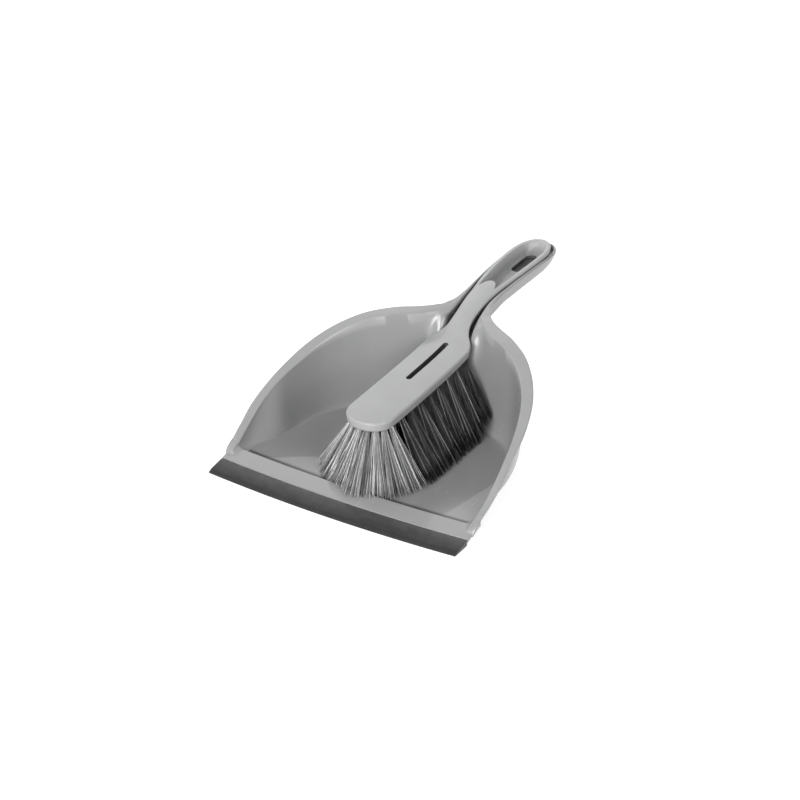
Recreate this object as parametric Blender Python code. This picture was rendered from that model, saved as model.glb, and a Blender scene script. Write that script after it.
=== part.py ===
"""Dustpan and hand brush, stored together.

The pan is one moulding (tray, rolled rim and channel-shaped handle) with a rubber lip pushed onto
its front edge. The brush lies in the pan with its handle in the channel. Its stock is drilled from
below; every hole holds a tuft of bristle folded over a steel anchor.

Lengths below are millimetres, X across, Y from the lip towards the handle tip, Z up from the floor
that the pan stands on. Y counts from the two front corners of the lip until `to_world` moves the
origin to the middle of the footprint.
"""

import math

import bmesh
import bpy
import numpy as np
from mathutils import Vector

MM = 0.001

# ---- driving dimensions -------------------------------------------------------------------------
GAP = 0.35                      # clearance between two pieces that touch
LIP_HALF_WIDTH = 109.2          # rubber lip, half of its length across the pan
LIP_BOW = 4.7                   # how far the middle of the lip stands in front of its corners
TONGUE_FRONT = 10.5             # front edge of the pan's tongue, inside the lip
BAND_FRONT = 18.0               # where the lip ends and the ramp band starts
BAND_BACK = 33.2                # ridge at the back of the ramp band
BAND_FRONT_Z = 4.8
BAND_BACK_Z = 8.0
FLOOR_Z = 2.2                   # top of the level back half of the tray floor
FLOOR_LEVEL_FROM = 98.0         # the floor is level from here to the back wall
SHELL = 2.2                     # wall thickness of the tray
HANDLE_SHELL = 1.8              # wall thickness of the pan's handle
TIP_Y = 335.8                   # end of the pan's handle
Y_MID = (TIP_Y - LIP_BOW) / 2   # middle of the footprint, moved to the origin

HEAD_FRONT = 44.0               # front end of the brush head
HEAD_CENTRE = 64.0              # centre of the head's rounded front end
HEAD_HALF_WIDTH = 20.0
HEAD_ROUND = 2.3                # exponent of the superellipse that rounds the head's front
STOCK_TIP = 326.5               # end of the brush handle
HEAD_THICK = 7.2
CROWN = 2.0                     # how far the middle of the head stands above its edges
HANDLE_DEEPER = 0.2             # how much deeper the handle is behind the tongue

HOLE_RADIUS = 2.35              # tuft holes in the stock
HOLE_DEPTH = 5.4
TUFT_ROOT_RADIUS = 2.0
ANCHOR_SIZE = (3.7, 0.7, 1.3)   # steel anchor: length, thickness, height
ANCHOR_SLOT = (6.0, 1.4, 2.0)   # eye in the folded end of the tuft
ARC_TUFTS = 8                   # light tufts round the front of the head
SIDE_TUFTS = 8                  # dark tufts along each side
CENTRE_TUFTS = ((62.0, "light"), (77.0, "light"), (90.0, "dark"), (103.0, "dark"))
TUFT_RING = 14.9                # distance of the outer tufts from the head's centre line
SIDE_FROM, SIDE_TO = 77.0, 169.0

SLOT_FROM, SLOT_TO, SLOT_WIDTH = 111.0, 170.0, 4.6
HANG_FROM, HANG_TO, HANG_WIDTH = 277.0, 310.0, 10.4


def smooth(value):
    """Smoothstep of a number clamped to 0..1."""
    t = min(max(value, 0.0), 1.0)
    return t * t * (3 - 2 * t)


def to_world(point):
    """Millimetres from the lip corners to metres from the middle of the footprint."""
    return Vector((point[0] * MM, (point[1] - Y_MID) * MM, point[2] * MM))


def bow(x, y):
    """How far a point of the front edges stands forward of its corner line."""
    return LIP_BOW * (1 - (x / LIP_HALF_WIDTH) ** 2) * smooth((66.0 - y) / 30.0)


def spline(points, steps, folded=()):
    """Catmull-Rom curve through rows of numbers, `steps(row)` pieces after each row.

    The columns in `folded` change sign past the last row, so that a tip closes round, not pointed.
    """
    rows = [np.array(p, float) for p in points]
    beyond = rows[-2].copy() if folded else 2 * rows[-1] - rows[-2]
    for column in folded:
        beyond[column] *= -1
    rows = [2 * rows[0] - rows[1]] + rows + [beyond]
    out = []
    for a, b, c, d in zip(rows, rows[1:], rows[2:], rows[3:]):
        pieces = steps(b)
        for k in range(pieces):
            t = k / pieces
            out.append(0.5 * (2 * b + (c - a) * t + (2 * a - 5 * b + 4 * c - d) * t * t
                              + (3 * b - a - 3 * c + d) * t ** 3))
    out.append(rows[-2])
    return out


# ---- materials ----------------------------------------------------------------------------------
def material(name, colour, roughness, metallic=0.0):
    """Principled material of one plain colour."""
    mat = bpy.data.materials.new(name)
    mat.use_nodes = True
    shader = mat.node_tree.nodes["Principled BSDF"]
    shader.inputs["Base Color"].default_value = (*colour, 1.0)
    shader.inputs["Roughness"].default_value = roughness
    shader.inputs["Metallic"].default_value = metallic
    mat.diffuse_color = (*colour, 1.0)
    return mat


# ---- mesh helpers -------------------------------------------------------------------------------
def place(name, mesh, origin, parent):
    """Object that shows `mesh` with its origin at a place in metres."""
    obj = bpy.data.objects.new(name, mesh)
    bpy.context.scene.collection.objects.link(obj)
    obj.location = origin
    obj.parent = parent
    return obj


def make_object(name, verts, faces, mat, parent, origin=(0.0, 0.0, 0.0)):
    """Object from points in metres; doubles are welded and faces turned outwards."""
    mesh = bpy.data.meshes.new(name)
    mesh.from_pydata([tuple(Vector(v) - Vector(origin)) for v in verts], [], faces)
    work = bmesh.new()
    work.from_mesh(mesh)
    bmesh.ops.remove_doubles(work, verts=work.verts, dist=0.00002)
    bmesh.ops.dissolve_degenerate(work, edges=work.edges, dist=0.00001)
    bmesh.ops.recalc_face_normals(work, faces=work.faces)
    work.to_mesh(mesh)
    work.free()
    mesh.shade_smooth()
    mesh.set_sharp_from_angle(angle=math.radians(38))
    mesh.materials.append(mat)
    return place(name, mesh, origin, parent)


def skin(loops, cap_start):
    """Faces between equal closed loops; the last loop has folded shut and needs no cap."""
    count = len(loops[0])
    verts = [p for loop in loops for p in loop]
    faces = []
    for i in range(len(loops) - 1):
        for j in range(count):
            k = (j + 1) % count
            faces.append((i * count + j, i * count + k, (i + 1) * count + k, (i + 1) * count + j))
    faces.extend(cap_start)
    return verts, faces


def mirrored_loop(right):
    """Closed loop from its right half, which starts and ends on the middle plane."""
    left = [(-p[0], p[1], p[2]) for p in right[-2:0:-1]]
    return [to_world(p) for p in list(right) + left]


def cutter(name, verts, faces, target):
    """Hidden solid that a Boolean takes away from `target`."""
    mesh = bpy.data.meshes.new(name)
    mesh.from_pydata([tuple(v) for v in verts], [], faces)
    work = bmesh.new()
    work.from_mesh(mesh)
    bmesh.ops.recalc_face_normals(work, faces=work.faces)
    work.to_mesh(mesh)
    work.free()
    obj = place(name, mesh, (0.0, 0.0, 0.0), target.parent)
    obj.hide_render = True
    obj.display_type = "WIRE"
    cut = target.modifiers.new(name, "BOOLEAN")
    cut.operation = "DIFFERENCE"
    cut.solver = "EXACT"
    cut.object = obj
    return obj


def prism(rings):
    """Closed solid through equal rings of points, first and last ring capped."""
    count = len(rings[0])
    verts = [p for ring in rings for p in ring]
    faces = [tuple(reversed(range(count)))]
    for i in range(len(rings) - 1):
        for j in range(count):
            k = (j + 1) % count
            faces.append((i * count + j, i * count + k, (i + 1) * count + k, (i + 1) * count + j))
    faces.append(tuple((len(rings) - 1) * count + j for j in range(count)))
    return verts, faces


def stadium(front, back, width, steps=7):
    """Plan outline of a slot with round ends; odd `steps` keep its corners off the middle plane."""
    r = width / 2
    ends = [(back - r, 0.0), (front + r, math.pi)]
    out = []
    for centre, turn in ends:
        for k in range(steps + 1):
            angle = turn + math.pi * k / steps
            out.append((r * math.cos(angle), centre + r * math.sin(angle)))
    return out


# ---- pan ----------------------------------------------------------------------------------------
# Right-hand side, front to tip: rim's inner edge, floor edge below it, width of the rim, how late
# the wall turns outwards (0 at the floor, 1 at the rim), and the exponent of its corner (1 makes
# an elliptic wall, less a squarer one).
PAN_STATIONS = (
    ((104.3, 34.0, 12.0), (97.5, 34.0, 4.9), 6.4, 0.0, 1.0),
    ((105.4, 47.0, 19.5), (97.5, 47.0, 4.4), 6.4, 0.0, 1.0),
    ((105.4, 62.0, 29.5), (96.0, 61.0, 3.6), 6.8, 0.0, 1.5),
    ((103.6, 80.0, 39.9), (93.0, 78.0, 2.7), 6.6, 0.0, 2.0),
    ((99.4, 101.0, 49.0), (89.8, 98.0, 2.2), 8.1, 0.0, 1.3),
    ((92.5, 122.5, 59.0), (83.8, 117.5, 2.2), 8.8, 0.0, 0.9),
    ((82.0, 141.0, 68.0), (74.3, 134.0, 2.2), 9.2, 0.0, 0.75),
    ((66.5, 157.5, 75.5), (61.0, 148.5, 2.2), 9.9, 0.0, 0.72),
    ((48.5, 169.0, 79.3), (45.5, 159.5, 2.2), 11.2, 0.05, 0.72),
    ((34.5, 177.0, 80.5), (32.5, 166.5, 2.2), 10.9, 0.15, 0.72),
    ((26.0, 183.5, 81.3), (22.5, 170.3, 3.4), 9.5, 0.4, 0.72),
    ((19.4, 190.2, 82.0), (15.8, 174.4, 13.0), 8.4, 0.8, 0.75),
    ((13.9, 197.5, 82.2), (12.9, 177.0, 35.0), 8.2, 0.85, 0.8),
    ((12.3, 207.5, 84.9), (11.3, 181.0, 57.0), 5.4, 0.6, 0.9),
    ((12.0, 217.0, 87.0), (10.0, 190.5, 66.8), 4.0, 0.3, 0.9),
    ((12.5, 227.0, 88.4), (9.6, 204.5, 73.4), 3.0, 0.0, 0.8),
    ((13.5, 240.0, 89.7), (10.3, 224.0, 78.3), 2.5, 0.0, 0.72),
    ((14.6, 260.0, 91.2), (12.6, 250.0, 81.0), 2.3, 0.0, 0.72),
    ((15.4, 282.0, 92.0), (13.7, 280.0, 82.4), 2.3, 0.0, 0.72),
    ((15.3, 300.0, 91.5), (13.7, 299.0, 82.9), 2.3, 0.0, 0.72),
    ((13.7, 314.0, 90.4), (11.6, 312.0, 83.7), 2.3, 0.0, 0.72),
    ((10.0, 325.3, 89.4), (7.6, 321.5, 84.0), 2.3, 0.0, 0.72),
    ((5.0, 331.8, 89.1), (3.6, 327.0, 84.0), 2.3, 0.0, 0.72),
    ((0.0, 333.5, 88.9), (0.0, 328.6, 84.0), 2.3, 0.0, 0.72),
)
# Front rows: Y at the corners, top of the plate, rise of the rim's nub, thickness.
FRONT_ROWS = (
    (TONGUE_FRONT, 2.3, 0.0, 1.1),
    (BAND_FRONT - 0.1, 2.6, 0.0, 1.1),
    (BAND_FRONT, BAND_FRONT_Z, 0.0, 2.6),
    (23.6, 6.0, 0.1, 2.4),
    (24.8, 6.25, 1.3, 2.3),
    (28.0, 6.9, 2.4, 2.2),
    (BAND_BACK, BAND_BACK_Z, 3.5, 2.2),
)
FLOOR_STEPS = (0.0, 0.22, 0.44, 0.66, 0.85, 1.0)
WALL_ANGLES = (13.0, 31.0, 52.0, 73.0, 90.0)
# Rim sections: fraction of the rim's width, height above its inner edge. The last point is the
# bottom of the outer edge; *_ROOT is where the rim's underside meets the wall.
FLANGE = ((0.08, 0.0), (0.3, 0.6), (0.64, 1.3), (0.9, 1.7), (1.0, 1.0), (0.97, 0.0))
FLANGE_ROOT = -2.4
BEAD = ((0.09, 0.0), (0.32, 0.2), (0.64, -0.1), (0.9, -0.6), (1.0, -1.3), (0.97, -2.6))
BEAD_ROOT = -2.6
RIM_DIP = 0.6                   # drop of the inner edge's rounding


def inner_columns(rim, base, late=0.0, corner=1.0):
    """Inside of the pan from the middle plane over the floor and up the wall to the rim."""
    points = [(base[0] * f, base[1] - bow(base[0] * f, base[1]), base[2]) for f in FLOOR_STEPS]
    for angle in WALL_ANGLES:
        sine = math.sin(math.radians(angle)) ** corner
        cosine = abs(math.cos(math.radians(angle))) ** corner
        out = (1 - late) * sine + late * (1 - cosine)
        up = (1 - late) * (1 - cosine) + late * sine
        x = base[0] + (rim[0] - base[0]) * out
        y = base[1] + (rim[1] - base[1]) * out
        points.append((x, y - bow(x, y), base[2] + (rim[2] - RIM_DIP - base[2]) * up))
    return np.array(points)


def rim_columns(rim, outward, width, narrow, lift):
    """Outside of the rim, from its crown to the bottom of its outer edge."""
    points = []
    for flange, bead in zip(FLANGE, BEAD):
        out = width * (flange[0] * (1 - narrow) + bead[0] * narrow)
        rise = lift * (flange[1] * (1 - narrow) + bead[1] * narrow)
        x = rim[0] + outward[0] * out
        y = rim[1] + outward[1] * out
        points.append((x, y - bow(x, y), rim[2] + rise))
    return points


def grid_normals(grid):
    """Outward unit normals of the inside surface, one for each of its points."""
    rows = [np.array(r) for r in grid]
    ghost = rows[-2] * np.array([-1.0, 1.0, 1.0])
    along = np.array([(rows + [ghost])[min(i + 1, len(rows))] - rows[max(i - 1, 0)]
                      for i in range(len(rows))])
    stack = np.array(rows)
    mirror = stack[:, 1:2] * np.array([-1.0, 1.0, 1.0])
    wide = np.concatenate([mirror, stack, 2 * stack[:, -1:] - stack[:, -2:-1]], axis=1)
    across = wide[:, 2:] - wide[:, :-2]
    normals = np.cross(across, along)
    normals *= -1
    length = np.linalg.norm(normals, axis=2, keepdims=True)
    normals = normals / np.maximum(length, 1e-9)
    last = len(FLOOR_STEPS) - 1
    normals[-1, :last] = normals[-1, last]
    return normals


def front_rows():
    """Cross-sections of the tongue and the ramp band, as `pan_rows` returns them."""
    rows = []
    for y, z, rise, thick in FRONT_ROWS:
        rim = (104.4 - 0.012 * (BAND_BACK - y) ** 1.6, y, z + rise + RIM_DIP)
        width = 6.4
        if y < 24:
            width = LIP_HALF_WIDTH - rim[0] - (1.2 if y < BAND_FRONT else 0.0)
        lift = min(rise / 3.0, 1.0)
        inner = inner_columns(rim, (97.5, y, z))
        top = (rim[0], rim[1], rim[2] - RIM_DIP * (1 - lift))
        outside = rim_columns(top, (1.0, 0.0), width, 0.0, lift)
        corner = outside[-1]
        outside[-1] = (corner[0], corner[1], z - thick + rise * 0.8)
        under = inner - np.array([0.0, 0.0, thick])
        under[:, 2] = np.minimum(under[:, 2], z - thick + rise * 0.5)
        rows.append((inner, outside, under))
    return rows


def pan_rows():
    """Right halves of the pan's cross-sections, front to tip: inside, outside of the rim, underside."""
    flat = [(*rim, *base, *shape) for rim, base, *shape in PAN_STATIONS]
    samples = spline(flat, lambda row: 2, folded=(0, 3))
    rims = np.array([s[0:3] for s in samples])
    grid = [inner_columns(s[0:3], s[3:6], s[7], s[8]) for s in samples]
    normals = grid_normals(grid)
    rows = front_rows()
    for i, s in enumerate(samples):
        step = rims[min(i + 1, len(rims) - 1)] - rims[max(i - 1, 0)]
        if i == len(samples) - 1:
            step = np.array([-1.0, 0.0, 0.0])
        outward = np.array([step[1], -step[0]]) / math.hypot(step[0], step[1])
        narrow = smooth((8.0 - s[6]) / 4.5) if s[1] > 170 else 0.0
        thick = SHELL - (SHELL - HANDLE_SHELL) * narrow
        outside = rim_columns(s[0:3], outward, s[6], narrow, 1.0)
        under = grid[i] + normals[i] * thick
        limit = s[2] + FLANGE_ROOT * (1 - narrow) + BEAD_ROOT * narrow
        under[:, 2] = np.minimum(under[:, 2], limit)
        top = np.array([s[0] + outward[0] * thick, s[1] + outward[1] * thick])
        under[-1] = (top[0], top[1] - bow(top[0], top[1]), limit)
        if s[5] <= FLOOR_Z + 0.01 and s[4] < 167:
            count = len(FLOOR_STEPS)
            under[:count, 2] = np.maximum(under[:count, 2], 0.0)
        rows.append((grid[i], outside, under))
    return rows


def build_pan(mat, parent):
    """Tray, rim and handle as one moulding."""
    loops = []
    for inner, outside, under in pan_rows():
        right = [tuple(p) for p in inner] + outside + [tuple(p) for p in under[::-1]]
        loops.append(mirrored_loop(right))
    inside = len(FLOOR_STEPS) + len(WALL_ANGLES)
    rim = len(FLANGE)
    total = len(loops[0])
    half = 2 * inside + rim
    caps = []
    for j in range(inside - 1):
        caps.append((j, half - 1 - j, half - 2 - j, j + 1))
        left_top, left_next = (total - j) % total, total - j - 1
        caps.append((left_top, left_next, half + j, half - 1 + j))
    caps.append(tuple(range(half - inside, inside - 2, -1)))
    caps.append(tuple(range(total - inside + 1, half + inside - 3, -1)))
    verts, faces = skin(loops, caps)
    return make_object("pan_body", verts, faces, mat, parent)


def build_lip(mat, parent):
    """Rubber strip with a groove for the pan's tongue."""
    section = ((0.0, 0.0), (16.9, 0.0), (17.3, 0.4), (17.3, 0.85), (TONGUE_FRONT - GAP, 0.85),
               (TONGUE_FRONT - GAP, 2.65), (17.55, 3.0), (17.55, 4.7), (3.0, 2.15), (0.0, 0.5))
    steps = 22
    rings = []
    for i in range(steps + 1):
        x = LIP_HALF_WIDTH * (2 * i / steps - 1)
        rings.append([to_world((x, y - bow(x, y), z)) for y, z in section])
    verts, faces = prism(rings)
    return make_object("rubber_lip", verts, faces, mat, parent)


# ---- brush --------------------------------------------------------------------------------------
# Y, half width, height of the top edge.
STOCK_STATIONS = (
    (64.0, 20.0, 57.5), (90.0, 20.2, 58.7), (118.0, 20.1, 60.3), (146.0, 19.9, 62.2),
    (164.0, 19.7, 64.2), (172.0, 19.3, 65.6), (178.0, 16.6, 68.0), (182.6, 12.6, 71.0),
    (187.0, 10.2, 74.0), (192.0, 9.0, 77.6), (199.4, 8.7, 81.2), (207.0, 9.0, 84.2),
    (215.0, 9.5, 86.6), (223.0, 10.0, 88.2), (231.0, 10.8, 89.7), (240.0, 11.9, 91.2),
    (252.0, 13.3, 92.6), (266.0, 14.4, 93.7), (278.0, 15.1, 94.4), (290.0, 15.4, 94.9),
    (300.0, 15.2, 95.2), (310.0, 14.0, 95.4), (318.0, 11.2, 95.6), (323.5, 7.2, 95.7),
    (STOCK_TIP, 0.0, 95.8),
)
TONGUE_END, TONGUE_SIDE = 241.0, 229.0     # flat tongue: end on the middle plane, and at its sides
HOLLOW_BACK = 325.0                        # far end of the hollow
HOLLOW_DEPTH = 8.7
RIM_WIDTH = 3.2
# Across the top, as fractions of the hollow's half width.
TOP_STEPS = (0.0, 0.3, 0.58, 0.8, 0.94, 1.0)
# Side of the stock: inset and drop for the head and for the handle.
HEAD_SIDE = ((0.9, 0.0), (0.0, 0.9), (0.25, 3.0), (0.5, 5.0), (0.7, 6.6), (1.3, 7.2))
HANDLE_SIDE = ((0.7, 0.0), (0.0, 0.8), (0.5, 2.8), (1.3, 6.0), (2.9, 8.1), (4.9, 9.0))


def hollow_drop(x, y, half):
    """Depth of the scooped hollow below the handle's rim."""
    across = abs(x) / max(half, 0.1)
    start = TONGUE_END - (TONGUE_END - TONGUE_SIDE) * min(across, 1.0) ** 2
    entry = smooth((y - start) / 4.0)
    leave = smooth((HOLLOW_BACK - y) / 17.0)
    bowl = 1.0 - smooth((across - 0.58) / 0.42)
    return HOLLOW_DEPTH * entry * leave * bowl


def stock_row(y, half, z):
    """Right half of the stock's cross-section."""
    handle = smooth((y - 176.0) / 24.0)
    flatness = 1.0 - smooth((y - 226.0) / 24.0)
    crown = CROWN * flatness * min(half / 12.0, 1.0)
    shrink = min(half / 6.0, 1.0)
    deeper = 1.0 + HANDLE_DEEPER * smooth((y - 236.0) / 24.0)
    side = [((1 - handle) * a[0] + handle * b[0], (1 - handle) * a[1] + handle * b[1])
            for a, b in zip(HEAD_SIDE, HANDLE_SIDE)]
    inner = max(half - RIM_WIDTH * shrink, half * 0.5)
    right = []
    for f in TOP_STEPS:
        x = inner * f
        top = z + crown * (1 - (x / half) ** 2) if half > 0.01 else z
        right.append((x, y, top - hollow_drop(x, y, inner)))
    for inset, drop in side:
        right.append((max(half - inset * shrink, 0.0), y, z - drop * deeper))
    bottom = z - side[-1][1] * deeper
    edge = max(half - side[-1][0] * shrink, 0.0)
    right.append((edge * 0.5, y, bottom))
    right.append((0.0, y, bottom))
    return right


def head_front_rows():
    """Rounded front end of the head, from the nose to its full width."""
    rows = []
    length = HEAD_CENTRE - HEAD_FRONT
    for k in range(6):
        angle = math.radians(90.0 * k / 6)
        y = HEAD_CENTRE - length * math.cos(angle) ** (2 / HEAD_ROUND)
        half = HEAD_HALF_WIDTH * math.sin(angle) ** (2 / HEAD_ROUND)
        rows.append((y, half, 57.5 - 0.055 * (HEAD_CENTRE - y)))
    return rows


def stock_steps(row):
    """Cross-sections after a station: few along the head, most at the end of the tongue."""
    if row[0] < 164.0:
        return 1
    return 5 if TONGUE_SIDE - 7 < row[0] < TONGUE_END + 2 else 2


def stock_stations():
    """Every cross-section of the stock: y, half width, height of the top edge."""
    rows = head_front_rows()
    rows += [tuple(p) for p in spline(STOCK_STATIONS, stock_steps, folded=(1,))]
    return [(y, max(half, 0.0), z) for y, half, z in rows]


def build_stock(mat, parent):
    """Brush stock with its hollow handle, slot, hanging hole and tuft holes."""
    loops = [mirrored_loop(stock_row(*row)) for row in stock_stations()]
    verts, faces = skin(loops, [])
    stock = make_object("brush_stock", verts, faces, mat, parent)
    for name, front, back, width, low, high in (
            ("cut_slot", SLOT_FROM, SLOT_TO, SLOT_WIDTH, 40.0, 80.0),
            ("cut_hanging_hole", HANG_FROM, HANG_TO, HANG_WIDTH, 75.0, 110.0)):
        outline = stadium(front, back, width)
        rings = [[to_world((x, y, z)) for x, y in outline] for z in (low, high)]
        cutter(name, *prism(rings), stock)
    return stock


def underside(y):
    """Height of the head's underside."""
    rows = stock_stations()
    return float(np.interp(y, [r[0] for r in rows], [r[2] for r in rows])) - HEAD_THICK


def pan_top(x, y):
    """Height of the pan's inside surface near the middle of the tray."""
    y = y + bow(x, y)
    if y < BAND_FRONT:
        return BAND_FRONT_Z - 0.18 * (BAND_FRONT - y)
    if y < BAND_BACK:
        run = (y - BAND_FRONT) / (BAND_BACK - BAND_FRONT)
        return BAND_FRONT_Z + (BAND_BACK_Z - BAND_FRONT_Z) * run
    return FLOOR_Z + 2.75 * smooth((FLOOR_LEVEL_FROM + 4 - y) / 68.0)


def tuft_layout():
    """Root and lean of every tuft: name, colour, (x, y), lean in x and y, tip radius."""
    tufts = []
    for k in range(ARC_TUFTS):
        angle = math.radians(-82.0 + 164.0 * k / (ARC_TUFTS - 1))
        x = TUFT_RING * math.sin(angle)
        y = HEAD_CENTRE + 1.0 - TUFT_RING * math.cos(angle)
        reach = 25.0 - 6.0 * smooth((10.0 - math.degrees(angle)) / 30.0)
        reach += 6.0 * smooth((-50.0 - math.degrees(angle)) / 25.0)
        lean = (reach * math.sin(angle), -reach * math.cos(angle) - 1.0)
        tufts.append((f"tuft_light_{k + 1:02d}", "light", (x, y), lean, 6.6))
    number = ARC_TUFTS
    dark = 0
    for k in range(SIDE_TUFTS):
        run = k / (SIDE_TUFTS - 1)
        y = SIDE_FROM + (SIDE_TO - SIDE_FROM) * run
        for sign in (-1, 1):
            dark += 1
            lean = (sign * (27.5 - 2.5 * run), -2.0 - 6.5 * run ** 4)
            tufts.append((f"tuft_dark_{dark:02d}", "dark", (sign * TUFT_RING, y), lean, 5.4))
    for y, colour in CENTRE_TUFTS:
        if colour == "light":
            number += 1
            tufts.append((f"tuft_light_{number:02d}", colour, (0.0, y), (0.0, -3.0), 4.6))
        else:
            dark += 1
            tufts.append((f"tuft_dark_{dark:02d}", colour, (0.0, y), (0.0, -2.0), 4.6))
    return tufts


def ring(centre, radius, z, sides=8):
    """Level ring of points in metres."""
    turn = 2 * math.pi / sides
    return [to_world((centre[0] + radius * math.cos((k + 0.5) * turn),
                      centre[1] + radius * math.sin((k + 0.5) * turn), z)) for k in range(sides)]


def build_tuft(name, root, lean, tip_radius, mat, parent):
    """Fanned bundle of bristle, folded over its anchor at the top."""
    mouth = underside(root[1])
    tip = (root[0] + lean[0], root[1] + lean[1])
    reach = [(tip[0] + tip_radius * math.cos(a), tip[1] + tip_radius * math.sin(a))
             for a in np.linspace(0, 2 * math.pi, 12)]
    low = max(pan_top(x, y) for x, y in reach) + 0.6 + 12.0 * smooth((tip[1] - 146.0) / 14.0)
    start = mouth - 0.4
    rings = [ring(root, TUFT_ROOT_RADIUS, mouth + HOLE_DEPTH - GAP), ring(root, TUFT_ROOT_RADIUS, start)]
    middle = ((root[0] + tip[0]) / 2, (root[1] + tip[1]) / 2)
    rings.append(ring(middle, (TUFT_ROOT_RADIUS + tip_radius) / 2, (start + low) / 2))
    rings.append(ring(tip, tip_radius, low))
    tuft = make_object(name, *prism(rings), mat, parent, to_world((root[0], root[1], mouth)))
    eye = (root[0], root[1], mouth + HOLE_DEPTH - GAP - 1.1 - ANCHOR_SLOT[2] / 2)
    cutter(f"cut_{name}", *box(eye, ANCHOR_SLOT), tuft)
    return eye


def box(centre, size):
    """Corners and faces of a box, in metres."""
    low = [c - s / 2 for c, s in zip(centre, size)]
    high = [c + s / 2 for c, s in zip(centre, size)]
    plan = ((low[0], low[1]), (high[0], low[1]), (high[0], high[1]), (low[0], high[1]))
    return prism([[to_world((x, y, z)) for x, y in plan] for z in (low[2], high[2])])


def build_tufts(stock, mats, parent):
    """All tufts, their anchors and the holes they sit in."""
    plate = None
    for name, colour, root, lean, tip_radius in tuft_layout():
        mouth = underside(root[1])
        hole = [ring(root, HOLE_RADIUS, z) for z in (mouth - 6.0, mouth + HOLE_DEPTH)]
        cutter(f"cut_hole_{name}", *prism(hole), stock)
        eye = build_tuft(name, root, lean, tip_radius, mats[colour], parent)
        anchor = name.replace("tuft", "anchor")
        if plate is None:
            plate = make_object(anchor, *box(eye, ANCHOR_SIZE), mats["steel"], parent, to_world(eye)).data
        else:
            place(anchor, plate, to_world(eye), parent)


def main():
    """Clear the scene and build the set."""
    for obj in list(bpy.data.objects):
        bpy.data.objects.remove(obj, do_unlink=True)
    pan_plastic = material("pan_plastic", (0.40, 0.40, 0.41), 0.32)
    stock_plastic = material("stock_plastic", (0.46, 0.46, 0.47), 0.45)
    rubber = material("rubber", (0.06, 0.06, 0.06), 0.6)
    mats = {
        "light": material("light_bristle", (0.42, 0.42, 0.42), 0.5),
        "dark": material("dark_bristle", (0.02, 0.02, 0.02), 0.45),
        "steel": material("anchor_steel", (0.6, 0.6, 0.6), 0.3, 1.0),
    }
    pan = bpy.data.objects.new("pan", None)
    brush = bpy.data.objects.new("brush", None)
    for group in (pan, brush):
        bpy.context.scene.collection.objects.link(group)
    build_pan(pan_plastic, pan)
    build_lip(rubber, pan)
    stock = build_stock(stock_plastic, brush)
    build_tufts(stock, mats, brush)


main()
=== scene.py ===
"""Looks of the dustpan and hand brush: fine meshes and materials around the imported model.

Lengths in the tables are millimetres in the frame of the lip's front corners: X across the pan,
Y from the lip towards the handle's tip, Z up from the floor. `world` moves them to the model's
frame, in metres.
"""

import math
import random

import bmesh
import bpy
import numpy as np
from mathutils import Matrix, Vector

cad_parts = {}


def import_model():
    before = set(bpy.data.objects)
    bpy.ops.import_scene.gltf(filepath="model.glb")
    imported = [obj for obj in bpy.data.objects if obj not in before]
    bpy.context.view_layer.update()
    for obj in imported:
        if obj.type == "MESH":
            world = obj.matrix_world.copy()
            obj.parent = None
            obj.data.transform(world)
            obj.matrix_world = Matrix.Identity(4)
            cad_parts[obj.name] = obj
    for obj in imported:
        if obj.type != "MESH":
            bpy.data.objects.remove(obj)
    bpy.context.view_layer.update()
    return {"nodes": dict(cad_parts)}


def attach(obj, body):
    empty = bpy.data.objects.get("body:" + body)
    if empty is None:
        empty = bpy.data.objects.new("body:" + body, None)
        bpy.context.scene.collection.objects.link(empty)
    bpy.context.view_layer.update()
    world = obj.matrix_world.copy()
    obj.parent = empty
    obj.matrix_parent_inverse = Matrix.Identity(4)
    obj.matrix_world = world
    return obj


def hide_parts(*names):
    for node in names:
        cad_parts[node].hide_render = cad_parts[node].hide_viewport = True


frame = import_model()

MM = 0.001
LIP_HALF_WIDTH = 109.2
LIP_BOW = 4.7
TIP_Y = 335.8
Y_MID = (TIP_Y - LIP_BOW) / 2
TONGUE_FRONT = 10.5
BAND_FRONT, BAND_BACK = 18.0, 33.2
FLOOR_Z = 2.2
FLOOR_LEVEL_FROM = 98.0
SHELL, HANDLE_SHELL = 2.2, 1.8
BOW_END, BOW_FADE = 66.0, 30.0   # where the bow of the front edges ends, and how gradually

HEAD_FRONT, HEAD_CENTRE, HEAD_HALF_WIDTH = 44.0, 64.0, 20.0
HEAD_ROUND = 2.3                 # exponent of the nose's outline; 2 makes an ellipse
STOCK_TIP = 326.5
HEAD_THICK = 7.2
HANDLE_DEEPER = 0.2              # how much deeper the handle is behind the tongue
CROWN = 2.0
NOSE_DROOP = 0.055               # fall of the head's top edge ahead of its centre, per millimetre
SLOT_FROM, SLOT_TO, SLOT_WIDTH = 111.0, 170.0, 4.6
HANG_FROM, HANG_TO, HANG_WIDTH = 277.0, 310.0, 10.4
HOLE_RADIUS, HOLE_DEPTH = 2.35, 5.4


# ---- small maths --------------------------------------------------------------------------------
MIRROR = np.array([-1.0, 1.0, 1.0])


def smooth(value):
    """Smoothstep of numbers clamped to 0..1."""
    t = np.clip(value, 0.0, 1.0)
    return t * t * (3 - 2 * t)


def world(points):
    """Rows of millimetres to rows of metres in the model's frame."""
    return (np.asarray(points, float) - np.array([0.0, Y_MID, 0.0])) * MM


def bow(x, y):
    """How far a point of the front edges stands forward of its corner line."""
    return LIP_BOW * (1 - (x / LIP_HALF_WIDTH) ** 2) * smooth((BOW_END - y) / BOW_FADE)


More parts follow.
